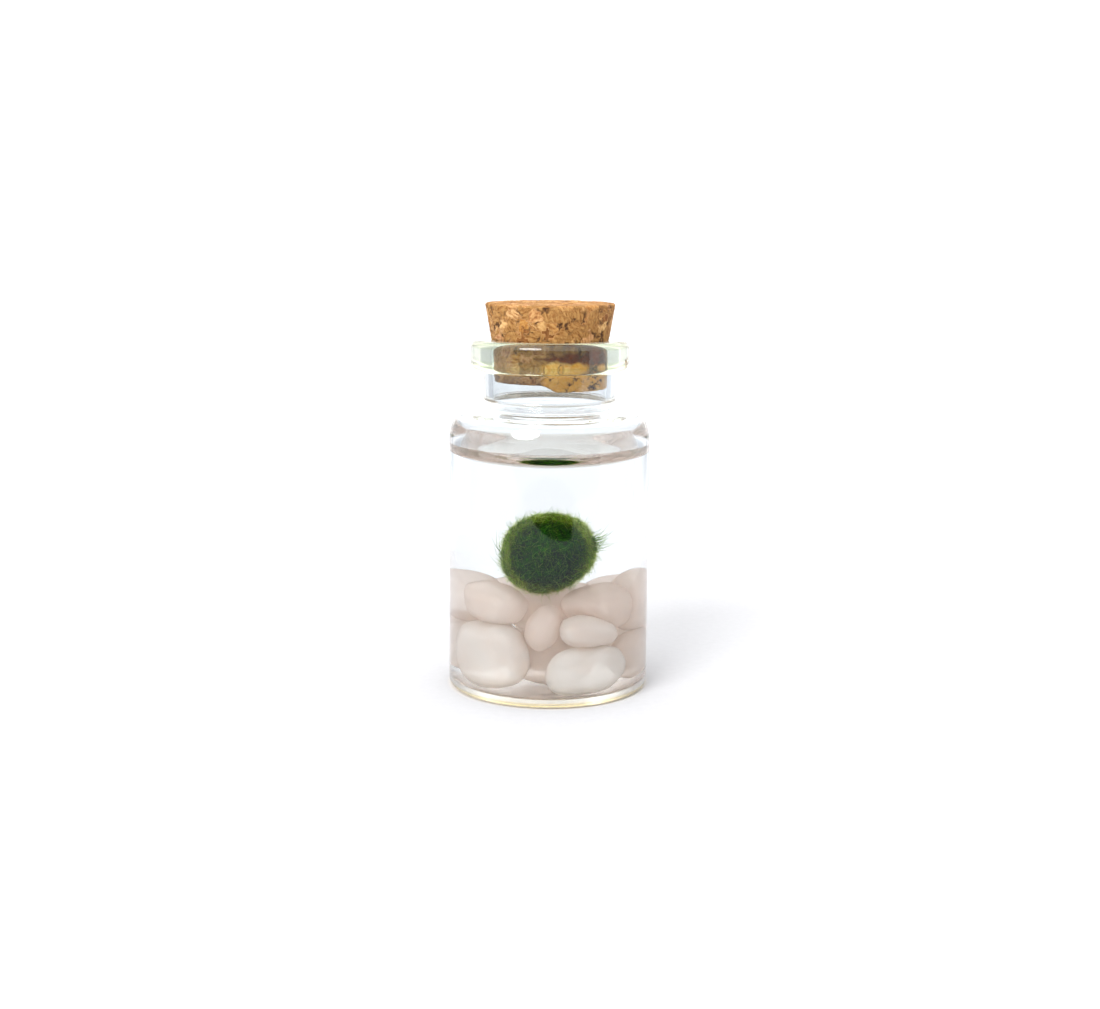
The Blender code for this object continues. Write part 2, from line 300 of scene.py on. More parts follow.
bm = bmesh.new()
bmesh.ops.create_grid(bm, x_segments=1, y_segments=1, size=1.0)
bmesh.ops.scale(bm, verts=bm.verts[:], vec=(GREY_HALF_WIDTH, GREY_HALF_DEPTH, 1.0))
bmesh.ops.translate(bm, verts=bm.verts[:], vec=(0.0, GREY_NEAR - GREY_HALF_DEPTH, GREY_HIGH))
cards = [object_from(bm, "grey_card", [grey_card])]
bm = bmesh.new()
for shape in DARK_SHAPES:
    bm.faces.new([bm.verts.new(corner) for corner in shape])
cards.append(object_from(bm, "black_card", [black_card]))

# %% Upright cards at the sides
for side in (-1, 1):
    upright = Matrix.Rotation(math.radians(90), 4, "Z") @ Matrix.Rotation(math.radians(90), 4, "X")
    place = Matrix.Translation((side * SIDE_AWAY, SIDE_BEHIND, SIDE_HIGH))
    size = Matrix.Diagonal((SIDE_ALONG, SIDE_UP, 1.0, 1.0))
    bm = bmesh.new()
    bmesh.ops.create_grid(bm, x_segments=1, y_segments=1, size=1.0, matrix=place @ upright @ size)
    cards.append(object_from(bm, "pale_card", [pale_card]))
for card in cards:
    card.visible_camera = card.visible_diffuse = card.visible_shadow = False
    card.visible_transmission = card.name.startswith("pale")
print("cards:", [card.name for card in cards])

# %% [markdown]
# ## The glass jar
#
# The jar is blown from a gob of clear soda-lime glass in a turning mould, so it is round all the way
# up: a flat base with a rounded heel, a straight wall 1.5 mm thick, a shoulder, a neck and a rolled
# lip. It could be two cylinders joined with a Boolean, but one outline spun about the axis gives the
# inside and the outside as one clean skin, which clear glass needs, because every crease would show.

# %% Outlines and the spin
SMOOTH_STEPS = 160


def arc(centre, half_sizes, start, end, steps):
    """Points of an elliptical arc in the (radius, height) plane, angles in degrees."""
    angles = [math.radians(start + (end - start) * i / steps) for i in range(steps + 1)]
    return [(centre[0] + half_sizes[0] * math.cos(a), centre[1] + half_sizes[1] * math.sin(a))
            for a in angles]


def turned(profile, steps=SMOOTH_STEPS):
    """Spins a (radius, height) outline, which starts and ends on the axis, into a closed skin."""
    bm = bmesh.new()
    verts = [bm.verts.new((r, 0.0, z)) for r, z in profile]
    edges = [bm.edges.new(pair) for pair in zip(verts, verts[1:])]
    bmesh.ops.spin(bm, geom=verts + edges, cent=(0, 0, 0), axis=(0, 0, 1),
                   angle=math.tau, steps=steps, use_merge=True)
    bmesh.ops.remove_doubles(bm, verts=bm.verts[:], dist=0.0005)
    bmesh.ops.recalc_face_normals(bm, faces=bm.faces[:])
    return bm


# %% The jar's outline
jar_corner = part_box("glass_jar")[1]
JAR_RADIUS, JAR_HEIGHT = jar_corner.x / MM, jar_corner.z / MM
WALL, BASE = 1.55, 0.9
HEEL = FLOOR_ROUND = 0.8
BORE = JAR_RADIUS - WALL
NECK_RADIUS, NECK_BORE, MOUTH_BORE = 9.55, 8.3, 8.55
NECK_TOP = JAR_HEIGHT - 4.4
NECK_FOOT = 41.0               # the inner edge between the shoulder and the neck
LIP_RADIUS, LIP_ROUND, MOUTH_ROUND = 11.5, 1.05, 0.7
SHOULDER_START, SHOULDER_RISE, SHOULDER_WIDTH = 36.2, 5.4, 4.75
INNER_START, CORNER_RISE, CORNER_WIDTH = 38.0, 1.8, 2.0
FILLET = 0.7                   # where the shoulder sweeps up into the neck
WATER_LEVEL = 32.85
MENISCUS_RISE = 2.9
WETTED_TOP = WATER_LEVEL + MENISCUS_RISE
EDGE_RING = 0.25               # a ring this near each end of a long straight run keeps its shading flat


def supported(outline):
    """The outline with points added near both ends of every straight run longer than a millimetre."""
    points = [outline[0]]
    for start, end in zip(outline, outline[1:]):
        start, end = Vector(start), Vector(end)
        run = end - start
        if run.length > 1.0:
            points += [tuple(start + run.normalized() * EDGE_RING), tuple(end - run.normalized() * EDGE_RING)]
        points.append(tuple(end))
    return points


def jar_outline():
    """The outline from the middle of the base, up the outside and down the inside."""
    outside = [(0.0, 0.0)]
    outside += arc((JAR_RADIUS - HEEL, HEEL), (HEEL, HEEL), -90, 0, 8)
    outside += arc((JAR_RADIUS - SHOULDER_WIDTH, SHOULDER_START),
                   (SHOULDER_WIDTH, SHOULDER_RISE), 0, 78, 20)
    outside += arc((NECK_RADIUS + FILLET, SHOULDER_START + SHOULDER_RISE + FILLET + 0.15),
                   (FILLET, FILLET), 235, 180, 8)
    outside += arc((NECK_RADIUS + 0.45, NECK_TOP - 0.45), (0.45, 0.45), 180, 90, 6)
    outside += arc((LIP_RADIUS - LIP_ROUND, NECK_TOP + LIP_ROUND), (LIP_ROUND, LIP_ROUND), -90, 0, 10)
    outside += arc((LIP_RADIUS - LIP_ROUND, JAR_HEIGHT - LIP_ROUND), (LIP_ROUND, LIP_ROUND), 0, 90, 10)
    inside = arc((MOUTH_BORE + MOUTH_ROUND, JAR_HEIGHT - MOUTH_ROUND),
                 (MOUTH_ROUND, MOUTH_ROUND), 90, 180, 8)
    inside += arc((NECK_BORE + 0.5, NECK_FOOT + 0.5), (0.5, 0.5), 180, 250, 5)
    inside += arc((BORE - CORNER_WIDTH, INNER_START), (CORNER_WIDTH, CORNER_RISE), 72, 0, 14)
    inside += [(BORE, WETTED_TOP), (BORE, WETTED_TOP - 0.4)]
    inside += arc((BORE - FLOOR_ROUND, BASE + FLOOR_ROUND), (FLOOR_ROUND, FLOOR_ROUND), 0, -90, 10)
    inside += [(0.0, BASE)]
    return supported(outside + inside)


print("jar outline points:", len(jar_outline()))

# %% [markdown]
# ## Soda-lime glass, blown
#
# Bottle glass is smooth from the fire, with an index of 1.52. A trace of iron makes it pale green,
# which the eye sees only where it looks a long way through it: in the lip and along the heel. An
# absorption in the volume would grow with depth by itself, but it is slow and noisy behind so many
# clear layers. So each part of the surface has its own faint tint: nearly none on the wall, pale green
# on the lip, stronger on its rounded edge, and yellow-green round the heel. The underside is where the
# gob was cut off. It is slightly rough, and so it doesn't mirror the white paper.

# %% Glass
GLASS_IOR, WATER_IOR = 1.52, 1.333


def clear_material(name, ior, colour="#FFFFFF", roughness=0.0):
    """A fully see-through surface that bends light by this ratio."""
    material, tree, output = new_material(name)
    clear = add(tree, "ShaderNodeBsdfPrincipled",
                [("Base Color", linear(colour)), ("Roughness", roughness), ("IOR", ior),
                 ("Transmission Weight", 1.0)])
    tree.links.new(clear.outputs["BSDF"], output.inputs["Surface"])
    return material


# The wall is seen by its edges alone.
wall_glass = clear_material("soda_lime_glass_blown", GLASS_IOR, "#EFF3F5")
# The lip is a pale green ring, greener where it turns over.
thick_glass = clear_material("soda_lime_glass_thick_rim", GLASS_IOR, "#EFF4E4")
rim_glass = clear_material("soda_lime_glass_rim_edge", GLASS_IOR, "#DAE3BE")
# The heel is a thin line of yellow-green light, and the underside over it is slightly frosted.
heel_glass = clear_material("soda_lime_glass_heel", GLASS_IOR, "#E0CD9C")
base_glass = clear_material("soda_lime_glass_base_cut_off", GLASS_IOR, "#FFF8EA", 0.25)
# Where water wets it, the inside of the glass all but disappears.
wetted_glass = clear_material("soda_lime_glass_wetted", GLASS_IOR / WATER_IOR)

# %% Jar
GLASSES = [wall_glass, thick_glass, wetted_glass, rim_glass, heel_glass, base_glass]
LIP_FLAT = (NECK_TOP + LIP_ROUND, JAR_HEIGHT - LIP_ROUND)
LIP_FROM = NECK_TOP - 0.3      # the thick glass starts a little below the lip
HAIR = 0.01                    # mm, keeps a face's middle clear of the limits below


def glass_at(middle):
    """The glass that a face of the jar has, from the face's middle."""
    radius = middle.xy.length
    if BASE - HAIR < middle.z < WETTED_TOP and radius < BORE + HAIR:
        return wetted_glass
    if middle.z > LIP_FROM:
        rounded = radius > LIP_RADIUS - LIP_ROUND and not LIP_FLAT[0] < middle.z < LIP_FLAT[1]
        return rim_glass if rounded else thick_glass
    if middle.z < HEEL and radius > JAR_RADIUS - HEEL:
        return heel_glass
    return base_glass if middle.z < HAIR else wall_glass


bm = turned(jar_outline())
for face in bm.faces:
    face.material_index = GLASSES.index(glass_at(face.calc_center_median()))
jar = object_from(bm, "jar_glass", GLASSES, crease=50)
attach(jar, "root")
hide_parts("glass_jar")

# %% [markdown]
# ## The water
#
# The water fills the jar to two thirds and climbs the glass in a meniscus 2.9 mm high, which is what
# water does on clean glass. Seen from outside, no layer of air may stay between water and glass, or
# the inside would be mirrored. Two skins in the same place would flicker, so the water's skin lies a
# few hundredths of a millimetre inside the glass, and the light is bent as in the real jar.

# %% Water
WETTED = 0.04                  # how far the water's skin lies inside the glass
CAPILLARY = 2.71               # mm, water's capillary length, which sets the shape of its meniscus


def meniscus(height):
    """How far from the glass the water's surface still stands this high above its level."""
    def run(h):
        return math.acosh(2 * CAPILLARY / h) - math.sqrt(4 - (h / CAPILLARY) ** 2)
    return CAPILLARY * (run(height) - run(MENISCUS_RISE))


def water_outline():
    """From the middle of the floor, up the wall, and along the water's top to the middle."""
    wall, floor = BORE + WETTED, BASE - WETTED
    round_size = FLOOR_ROUND
    side = [(0.0, floor)]
    side += arc((wall - round_size, floor + round_size), (round_size, round_size), -90, 0, 10)
    side += [(wall, WETTED_TOP)]
    side += [(BORE - meniscus(MENISCUS_RISE * share), WATER_LEVEL + MENISCUS_RISE * share)
             for share in 0.94 ** np.arange(0, 64)]
    return supported(side + [(0.0, WATER_LEVEL)])


# Still water mirrors the ball from below. At its side it bends nothing more: the wetted glass has.
water_surface = clear_material("clear_water_still", WATER_IOR)
water_side = clear_material("clear_water_against_glass", 1.0)

# %% Water body
bm = turned(water_outline())
for face in bm.faces:
    middle = face.calc_center_median()
    face.material_index = int(middle.z < WATER_LEVEL - HAIR or middle.xy.length > BORE)
water = object_from(bm, "water_body", [water_surface, water_side], crease=30)
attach(water, "root")
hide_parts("water")
print("water top:", round(max(v.co.z for v in water.data.vertices) / MM, 2), "mm")

# %% [markdown]
# ## The stones
#
# Each stone is a chip of rose quartz that was tumbled until it was smooth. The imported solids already
# have each stone's form and place, in coarse facets. A new form could be sculpted, but a copy of the
# solid that is merged, subdivided and then given small swells keeps every stone exactly where it
# rests, so the stones still touch and still carry the ball. Two stones in the middle of the bed are
# made 6% larger, because the others left gaps there through which the eye would see out at the back.

# %% Stone form
def rounded_stone(node_name):
    """A merged copy of a stone's solid, made finer and round, in millimetres."""
    bm = bmesh.new()
    bm.from_mesh(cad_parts[node_name].data)
    bm.transform(Matrix.Scale(1 / MM, 4))
    bmesh.ops.remove_doubles(bm, verts=bm.verts[:], dist=0.002)
    bmesh.ops.subdivide_edges(bm, edges=bm.edges[:], cuts=1, use_grid_fill=True, smooth=1.0)
    bmesh.ops.smooth_vert(bm, verts=bm.verts[:], factor=0.5,
                          use_axis_x=True, use_axis_y=True, use_axis_z=True)
    return bm


# %% [markdown]
# ## Rose quartz, tumbled
#
# Rose quartz is clear quartz clouded with fine pink fibres, so light goes in, scatters and comes out
# softly pink. Its index is 1.54, and in water it bends light by the ratio 1.16. With that ratio these
# smooth forms turn into bright lenses, which the cloudy stones in the photo aren't, so the light is
# bent only a little. A third to two thirds of the light passes through, blurred by the rough skin, and
# the rest shows a warm white. Milky clouds and clearer spots vary over about 4 mm, and each stone has
# its own milkiness, as an attribute on its points.

# %% Rose quartz
CLOUD_SIZE, DENT_SIZE = 4.76, 2.38

quartz_material, tree, output = new_material("rose_quartz_tumbled")
where = add(tree, "ShaderNodeTexCoord")
milk = add(tree, "ShaderNodeAttribute", attribute_name="milk")
clouds = add(tree, "ShaderNodeTexNoise",
             [("Vector", where.outputs["Object"]), ("Scale", scale_of(CLOUD_SIZE)), ("Detail", 4.0),
              ("Roughness", 0.55), ("Distortion", 0.8)])
cloudiness = add(tree, "ShaderNodeMath",
                 [(0, clouds.outputs["Fac"]), (1, milk.outputs["Fac"])], operation="ADD")
cloud_colour = add(tree, "ShaderNodeValToRGB", [("Fac", cloudiness.outputs["Value"])],
                   stops=[(0.30, linear("#FBEEE5")), (1.0, linear("#FFF8F1")), (0.65, linear("#FFF3EA"))])
clearness = add(tree, "ShaderNodeMapRange",
                [("Value", cloudiness.outputs["Value"]), ("From Min", 0.3), ("From Max", 1.0),
                 ("To Min", 0.66), ("To Max", 0.36)])
ripples = add(tree, "ShaderNodeTexNoise",
              [("Vector", where.outputs["Object"]), ("Scale", scale_of(DENT_SIZE)), ("Detail", 3.0)])
dents = add(tree, "ShaderNodeBump",
            [("Height", ripples.outputs["Fac"]), ("Distance", 0.15 * MM), ("Strength", 0.15)])
quartz = add(tree, "ShaderNodeBsdfPrincipled",
             [("Base Color", cloud_colour.outputs["Color"]), ("Roughness", 0.6), ("IOR", 1.01),
              ("Transmission Weight", clearness.outputs["Result"]), ("Normal", dents.outputs["Normal"])])
tree.links.new(quartz.outputs["BSDF"], output.inputs["Surface"])

# %% Stones
MILKINESS = {                  # the stones in front are the whitest, and the others have PLAIN_MILK
    "stone_front_left": 0.35, "stone_front_right": 0.45, "stone_middle": 0.2,
    "stone_centre": 0.1, "stone_upper_left": 0.1, "stone_upper_right": 0.0,
}
PLAIN_MILK = 0.05
CORE_STONES, CORE_SWELL = ("stone_core_low", "stone_core_high"), 1.06
stone_nodes = sorted(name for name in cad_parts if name.startswith("stone_"))
for node_name in stone_nodes:
    bm = rounded_stone(node_name)
    if node_name in CORE_STONES:
        middle = sum((v.co for v in bm.verts), Vector()) / len(bm.verts)
        bmesh.ops.scale(bm, verts=bm.verts[:], vec=(CORE_SWELL,) * 3, space=Matrix.Translation(-middle))
    milk_layer = bm.verts.layers.float.new("milk")
    for v in bm.verts:
        v[milk_layer] = MILKINESS.get(node_name, PLAIN_MILK)
    stone = object_from(bm, node_name.replace("stone", "quartz"), [quartz_material])
    smoother = stone.modifiers.new("rounding", "SUBSURF")
    smoother.levels = smoother.render_levels = 2
    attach(stone, "root")
    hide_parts(node_name)
print("stones:", len(stone_nodes), "with the swollen ones", CORE_STONES)

# %% [markdown]
# ## The cork
#
# The stopper is pressed from granules of cork bark about 2 mm across, then ground to a taper. Between
# the granules are crevices, painted dark as shade, and where a granule has fallen out there is a pit. A
# bump pattern on a plain cone would look painted on at the edges, so the granules are real relief: a fine
# skin whose points sink where a cell pattern has its borders. The same pattern is stored on the points, so
# the colours follow the granules exactly. Two masks are stored there too. At the lower right the squeezed
# cork touches the glass and looks wet and golden, and it is painted lighter there as painted light, where
# the lip shades it. Over it a dark smear runs to the right.

# %% Cork outline
CORK_TOP, CORK_FOOT = 56.0, 43.8
CORK_STEP = 0.95               # the left part of the foot has crumbled away
POINT_STEP = 0.165             # mm between the points of its skin


def cork_outline():
    """The taper from the middle of the foot to the middle of the top, with evenly spaced points."""
    corners = [(0.0, CORK_FOOT), (7.75, CORK_FOOT), (8.0, CORK_FOOT + 0.25), (8.25, 50.0),
               (8.55, 51.0), (9.38, CORK_TOP - 0.2), (9.2, CORK_TOP), (0.0, CORK_TOP)]
    points = [corners[0]]
    for start, end in zip(corners, corners[1:]):
        count = max(1, round(math.dist(start, end) / POINT_STEP))
        points += [(start[0] + (end[0] - start[0]) * i / count,
                    start[1] + (end[1] - start[1]) * i / count) for i in range(1, count + 1)]
    return points


bm = turned(cork_outline(), steps=340)
print("cork points:", len(bm.verts))

# %% Wet patch with painted light, smear and granules
GRANULE = 1.9                  # mm across
noise.seed_set(7)              # unseeded, noise_vector starts from the clock and differs in every run
WET_LIGHT_MIDDLE, WET_LIGHT_HALF = -0.5, 1.27  # radians from the right toward the front: where the cork is wet and painted lighter
WET_LIGHT_TOP = 48.0
SMEAR_START, SMEAR_LENGTH, SMEAR_HIGH = -2.4, 8.0, 48.6


def smooth(value, low, high):
    """0 below low, 1 above high, and a smooth rise between."""
    share = min(max((value - low) / (high - low), 0.0), 1.0)
    return share * share * (3 - 2 * share)


def stains_and_painted_light_at(place):
    """(wetted patch, smear): cork wetted against the glass at front and right, with painted light on it, and
    a dark smear under the lip.
    """
    turn = math.atan2(place.y, place.x)
    wander = 0.5 * noise.noise(place * 0.9)
    wet_and_painted_light = smooth(WET_LIGHT_HALF - abs(turn - WET_LIGHT_MIDDLE), 0.0, 0.15)
    wet_and_painted_light *= smooth(WET_LIGHT_TOP + wander - place.z, 0.0, 0.5)
    along = (place.x - SMEAR_START) / SMEAR_LENGTH
    half = 0.15 + 1.05 * min(max(along, 0.0), 1.0)
    smear = smooth(half - abs(place.z - SMEAR_HIGH - wander), -0.1, 0.5) * smooth(along, 0.0, 0.1)
    return wet_and_painted_light, smear * smooth(-place.y, 0.0, 3.0) * smooth(7.6 - place.x, 0.0, 1.0)


def granule_at(point):
    """(border, tone, grain): nearness to the granule's border, its own number, its own direction."""
    warped = point / GRANULE + 0.45 * noise.noise_vector(point * 0.8) + 0.2 * noise.noise_vector(point * 2.1)
    distances, seeds = noise.voronoi(Vector((warped.x, warped.y, warped.z * 1.3)))
    border = 1 - min((distances[1] - distances[0]) / 0.20, 1.0)
    seed = seeds[0] * 3.7 + Vector((11.3, 4.1, 7.7))
    return border, noise.cell(seed), noise.cell_vector(seed * 1.9).normalized()


# %% Cork skin
CREVICE_DEPTH, PIT_DEPTH = 0.10, 0.30
WET_SIDE = 0.33                # how far the squeezed cork swells toward the glass at its right
SQUEEZED_BELOW = 50.0
CRUMBLED_HEIGHT = 1.2          # the crumbling of the foot fades out over this

border_layer = bm.verts.layers.float.new("crevice")
tone_layer = bm.verts.layers.float.new("tone")
grain_layer = bm.verts.layers.float_vector.new("grain")
wet_light_layer = bm.verts.layers.float.new("wet_and_painted_light")
smear_layer = bm.verts.layers.float.new("smear")
bm.normal_update()
for v in bm.verts:
    place = v.co.copy()
    border, tone, grain = granule_at(place)
    openness = min(max(0.5 + 1.6 * noise.noise(place * 0.75 + Vector((5.0, 9.0, 2.0))), 0.05), 1.0)
    pitted = min(max(0.0, tone - 0.94) / 0.03, 1.0)
    sink = CREVICE_DEPTH * openness * border ** 2 + PIT_DEPTH * pitted * (1 - border)
    sink += 0.06 * noise.noise(place * 2.3) + 0.03 * noise.noise(place * 6.0)
    v[border_layer], v[tone_layer], v[grain_layer] = border * openness, tone, grain
    v[wet_light_layer], v[smear_layer] = stains_and_painted_light_at(place)
    v.co -= v.normal * sink
    if place.z < SQUEEZED_BELOW:
        toward_right = math.atan2(place.y, place.x)
        v.co.x += WET_SIDE * math.exp(-(toward_right / 0.7) ** 2) * min(1.0, (SQUEEZED_BELOW - place.z) / 2)
    if place.z < CORK_FOOT + CRUMBLED_HEIGHT:
        fade = 1 - max(0.0, place.z - CORK_FOOT) / CRUMBLED_HEIGHT
        v.co.z += CORK_STEP * smooth(1.3 - place.x, 0.0, 2.6) * fade
print("deepest crevice or pit, mm:", CREVICE_DEPTH, PIT_DEPTH)

# %% [markdown]
# ## Pressed cork, ground
#
# Cork granules are honey to pinkish brown, each a little different. The darkest tones go to the granules
# that sink as pits, as painted shade in them. The surface is dry and matt. Fine noise stands for the cells
# of the cork, drawn coarser than the real 0.04 mm so that it shows. It is stretched along each granule's
# own direction, because the cells of bark lie in rows, and so neighbouring granules catch the light
# differently. The wet patch is the same cork, lightened with gold, partly as wet cork and partly as
# painted light where the lip shades it, and the smear is the same cork, darkened with brown.

# %% Granules: colour and cells
CELL_ROW_SIZE = 1.053          # mm, a row of cells; the noise's finer octaves are the cells in it

cork_material, tree, output = new_material("pressed_cork_ground")
where = add(tree, "ShaderNodeTexCoord")
tone = add(tree, "ShaderNodeAttribute", attribute_name="tone")
crevice = add(tree, "ShaderNodeAttribute", attribute_name="crevice")
grain = add(tree, "ShaderNodeAttribute", attribute_name="grain")
# The darkest tones, near 1, fall on the granules that sink as pits from 0.94 up: painted shade in the pits.
granule_colour = add(tree, "ShaderNodeValToRGB", [("Fac", tone.outputs["Fac"])],
                     stops=[(0.0, linear("#AA8452")), (1.0, linear("#5E3C1E")),
                            (0.14, linear("#C49C68")), (0.28, linear("#C89E7A")),
                            (0.42, linear("#B28852")), (0.56, linear("#D6B480")),
                            (0.70, linear("#BC9670")), (0.84, linear("#C29454")),
                            (0.93, linear("#94683C"))])
along = add(tree, "ShaderNodeVectorMath",
            [(0, where.outputs["Object"]), (1, grain.outputs["Vector"])], operation="DOT_PRODUCT")
stretched = add(tree, "ShaderNodeVectorMath",
                [(0, grain.outputs["Vector"]), ("Scale", along.outputs["Value"])], operation="SCALE")
squeezed = add(tree, "ShaderNodeVectorMath", [(0, stretched.outputs["Vector"]), (1, (3.2, 3.2, 3.2))],
               operation="MULTIPLY")
layered = add(tree, "ShaderNodeVectorMath",
              [(0, where.outputs["Object"]), (1, squeezed.outputs["Vector"])], operation="ADD")
cells = add(tree, "ShaderNodeTexNoise",
            [("Vector", layered.outputs["Vector"]), ("Scale", scale_of(CELL_ROW_SIZE)), ("Detail", 6.0),
             ("Roughness", 0.72)])
speckle = add(tree, "ShaderNodeValToRGB", [("Fac", cells.outputs["Fac"])],
              stops=[(0.32, linear("#6E5238")), (0.66, linear("#FFFAF0")),
                     (0.42, linear("#BC9C7A")), (0.52, linear("#EADCC6"))])
grained = add(tree, "ShaderNodeMix",
              [(0, 0.95), (6, granule_colour.outputs["Color"]), (7, speckle.outputs["Color"])],
              data_type="RGBA", blend_type="MULTIPLY")

# %% Wet patch with painted light, smear, and crevices with painted shade
# Painted shade: where the crevice mask is high, the cork is drawn dark brown.
crevice_painted_shade = add(tree, "ShaderNodeValToRGB", [("Fac", crevice.outputs["Fac"])],
                stops=[(0.30, [0, 0, 0, 1]), (0.85, [1, 1, 1, 1])])
wet_and_painted_light = add(tree, "ShaderNodeAttribute", attribute_name="wet_and_painted_light")
smear = add(tree, "ShaderNodeAttribute", attribute_name="smear")
# Painted light: the wet patch is screened with gold, lighter than dry cork, where the lip and neck shade it.
gold_and_painted_light = add(tree, "ShaderNodeMix",
             [(0, wet_and_painted_light.outputs["Fac"]), (6, grained.outputs[2]), (7, linear("#CC8626"))],
             data_type="RGBA", blend_type="SCREEN")
smeared = add(tree, "ShaderNodeMix",
              [(0, smear.outputs["Fac"]), (6, gold_and_painted_light.outputs[2]), (7, linear("#9C5810"))],
              data_type="RGBA", blend_type="MULTIPLY")
cork_colour = add(tree, "ShaderNodeMix",
                  [(0, crevice_painted_shade.outputs["Color"]), (6, smeared.outputs[2]), (7, linear("#4A2E18"))],
                  data_type="RGBA")
cell_relief = add(tree, "ShaderNodeBump",
                  [("Height", cells.outputs["Fac"]), ("Distance", 0.2 * MM), ("Strength", 0.6)])
cork_shader = add(tree, "ShaderNodeBsdfPrincipled",
                  [("Base Color", cork_colour.outputs[2]), ("Roughness", 0.85),
                   ("Specular IOR Level", 0.25), ("Normal", cell_relief.outputs["Normal"])])
tree.links.new(cork_shader.outputs["BSDF"], output.inputs["Surface"])

# %% Cork
cork = object_from(bm, "cork_plug", [cork_material])
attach(cork, "root")
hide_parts("cork_stopper")

# %% [markdown]
# ## The moss ball
#
# A marimo is a ball of green algae threads that grow outward from the middle and felt together as the
# water rolls it. Close up it is dark and dense in the middle and pale and see-through at its edge, with
# fine threads that stand out, longest at the sides. One solid ball would be as dark at its edge as in
# the middle. So a smaller core, a lumpy ball of mesh, gives the dark, and threads round it the rest.

# %% Moss core form
BALL_CENTRE = Vector((0.08, -6.75, 20.95))
BALL_HALF = Vector((5.9, 5.8, 5.8))
FUZZ_DEPTH = 1.3               # the felt of threads round the dense core is this thick
FELT_RELIEF = 0.07
BALL_SWELLS = (                # direction, swell, spread: it sags left and rests on a stone at its right
    (Vector((-0.75, -0.1, -0.65)), 0.5, 0.5),
    (Vector((0.7, -0.1, 0.7)), 0.35, 0.5),
    (Vector((0.62, -0.1, -0.78)), -0.7, 0.6),
)


def core_reach(direction):
    """Distance from the ball's centre to its felted skin."""
    body = 1 / math.sqrt(sum((part / half) ** 2 for part, half in zip(direction, BALL_HALF)))
    for toward, swell, spread in BALL_SWELLS:
        body += swell * math.exp(-(direction.angle(toward) / spread) ** 2)
    return body - FUZZ_DEPTH + 0.12 * noise.noise(direction * 2.6) + 0.06 * noise.noise(direction * 7.0)


bm = bmesh.new()
bmesh.ops.create_icosphere(bm, subdivisions=6, radius=1.0)
for v in bm.verts:
    way = v.co.normalized()
    felt = noise.fractal(way * 18.0, 0.7, 2.0, 4)
    v.co = BALL_CENTRE + way * (core_reach(way) + FELT_RELIEF * felt)

# %% [markdown]
# ## Green algae felt, wet
#
# Under the threads the eye meets a matt, wet felt: deep green in the hollows and a lighter green where
# threads come to the surface. Noise at half a millimetre gives the threads and a bump of the same noise
# their relief, and a coarser noise makes patches that grew more or less thickly. Water takes away
# most of the gloss, so the index is 1.1, about the ratio of algae to water.

# %% Moss core
FELT_GRAIN, PATCH_SIZE = 0.5263, 2.632

moss_core_material, tree, output = new_material("green_algae_felt_wet")
where = add(tree, "ShaderNodeTexCoord")
fibre_noise = add(tree, "ShaderNodeTexNoise",
                  [("Vector", where.outputs["Object"]), ("Scale", scale_of(FELT_GRAIN)), ("Detail", 6.0),
                   ("Roughness", 0.7)])
patches = add(tree, "ShaderNodeTexNoise",
              [("Vector", where.outputs["Object"]), ("Scale", scale_of(PATCH_SIZE)), ("Detail", 3.0)])
dark_green = add(tree, "ShaderNodeValToRGB", [("Fac", fibre_noise.outputs["Fac"])],
                 stops=[(0.35, linear("#0E3E00")), (0.70, linear("#549F1A")), (0.52, linear("#2A7609"))])
light_green = add(tree, "ShaderNodeValToRGB", [("Fac", fibre_noise.outputs["Fac"])],
                  stops=[(0.35, linear("#1F5803")), (0.70, linear("#78B430")), (0.52, linear("#429012"))])
patchy = add(tree, "ShaderNodeMix",
             [(0, patches.outputs["Fac"]), (6, dark_green.outputs["Color"]),
              (7, light_green.outputs["Color"])], data_type="RGBA")
relief = add(tree, "ShaderNodeBump",
             [("Height", fibre_noise.outputs["Fac"]), ("Distance", 0.3 * MM), ("Strength", 0.8)])
felt_shader = add(tree, "ShaderNodeBsdfPrincipled",
                  [("Base Color", patchy.outputs[2]), ("Roughness", 0.8), ("IOR", 1.1),
                   ("Normal", relief.outputs["Normal"])])
tree.links.new(felt_shader.outputs["BSDF"], output.inputs["Surface"])

moss_core = object_from(bm, "moss_core", [moss_core_material])
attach(moss_core, "root")
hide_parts("moss_ball")

# %% [markdown]
# ## The threads
#
# Each thread is a stalk with three sides, three rings and a closed root and tip. Hair curves would give
# the threads quickly, but they are lost when the model is exported, and tens of thousands of stalks made
# one by one would be slow. So the middle lines of all threads are worked out at once as arrays, and the
# same ring is set round every point of them. Real threads are 0.02 to 0.05 mm thick, as these are.

# %% Stalks from arrays
RINGS = 3
SIDES = 3
TIP_THINNING = 0.75            # a tip is this share thinner than its root
CLEAR_OF_GLASS = 0.12          # mm
random_tones = np.random.default_rng(7)


def unit(vectors):
    """The vectors at length 1."""
    return vectors / np.linalg.norm(vectors, axis=-1, keepdims=True)


